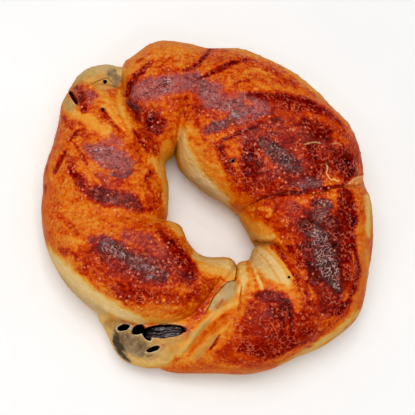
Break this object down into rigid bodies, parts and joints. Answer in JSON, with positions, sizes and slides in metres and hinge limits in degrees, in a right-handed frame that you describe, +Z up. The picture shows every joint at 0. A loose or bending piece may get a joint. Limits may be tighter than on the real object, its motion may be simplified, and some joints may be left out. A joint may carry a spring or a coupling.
{
  "type": "chocolate-filled roll",
  "caption": "Glossy baked ring of twisted bread dough with a hole through the middle and a dark chocolate filling that shows through slits in its crust.",
  "frame": {"origin": "middle of the flat underside", "axes": "+Z up through the hole, +Y towards the far side with the largest smooth lobe, +X to the right; the exposed filling is at the near left"},
  "size_m": [0.1217, 0.1224, 0.0371],
  "materials": {
    "crust": "egg-washed baked crust, orange to dark red-brown, glossy on top, pale on the sides",
    "chocolate": "dark, damp and slightly glossy"
  },
  "bodies": {
    "root": {"dough": "crust", "filling": "chocolate"}
  },
  "joints": []
}
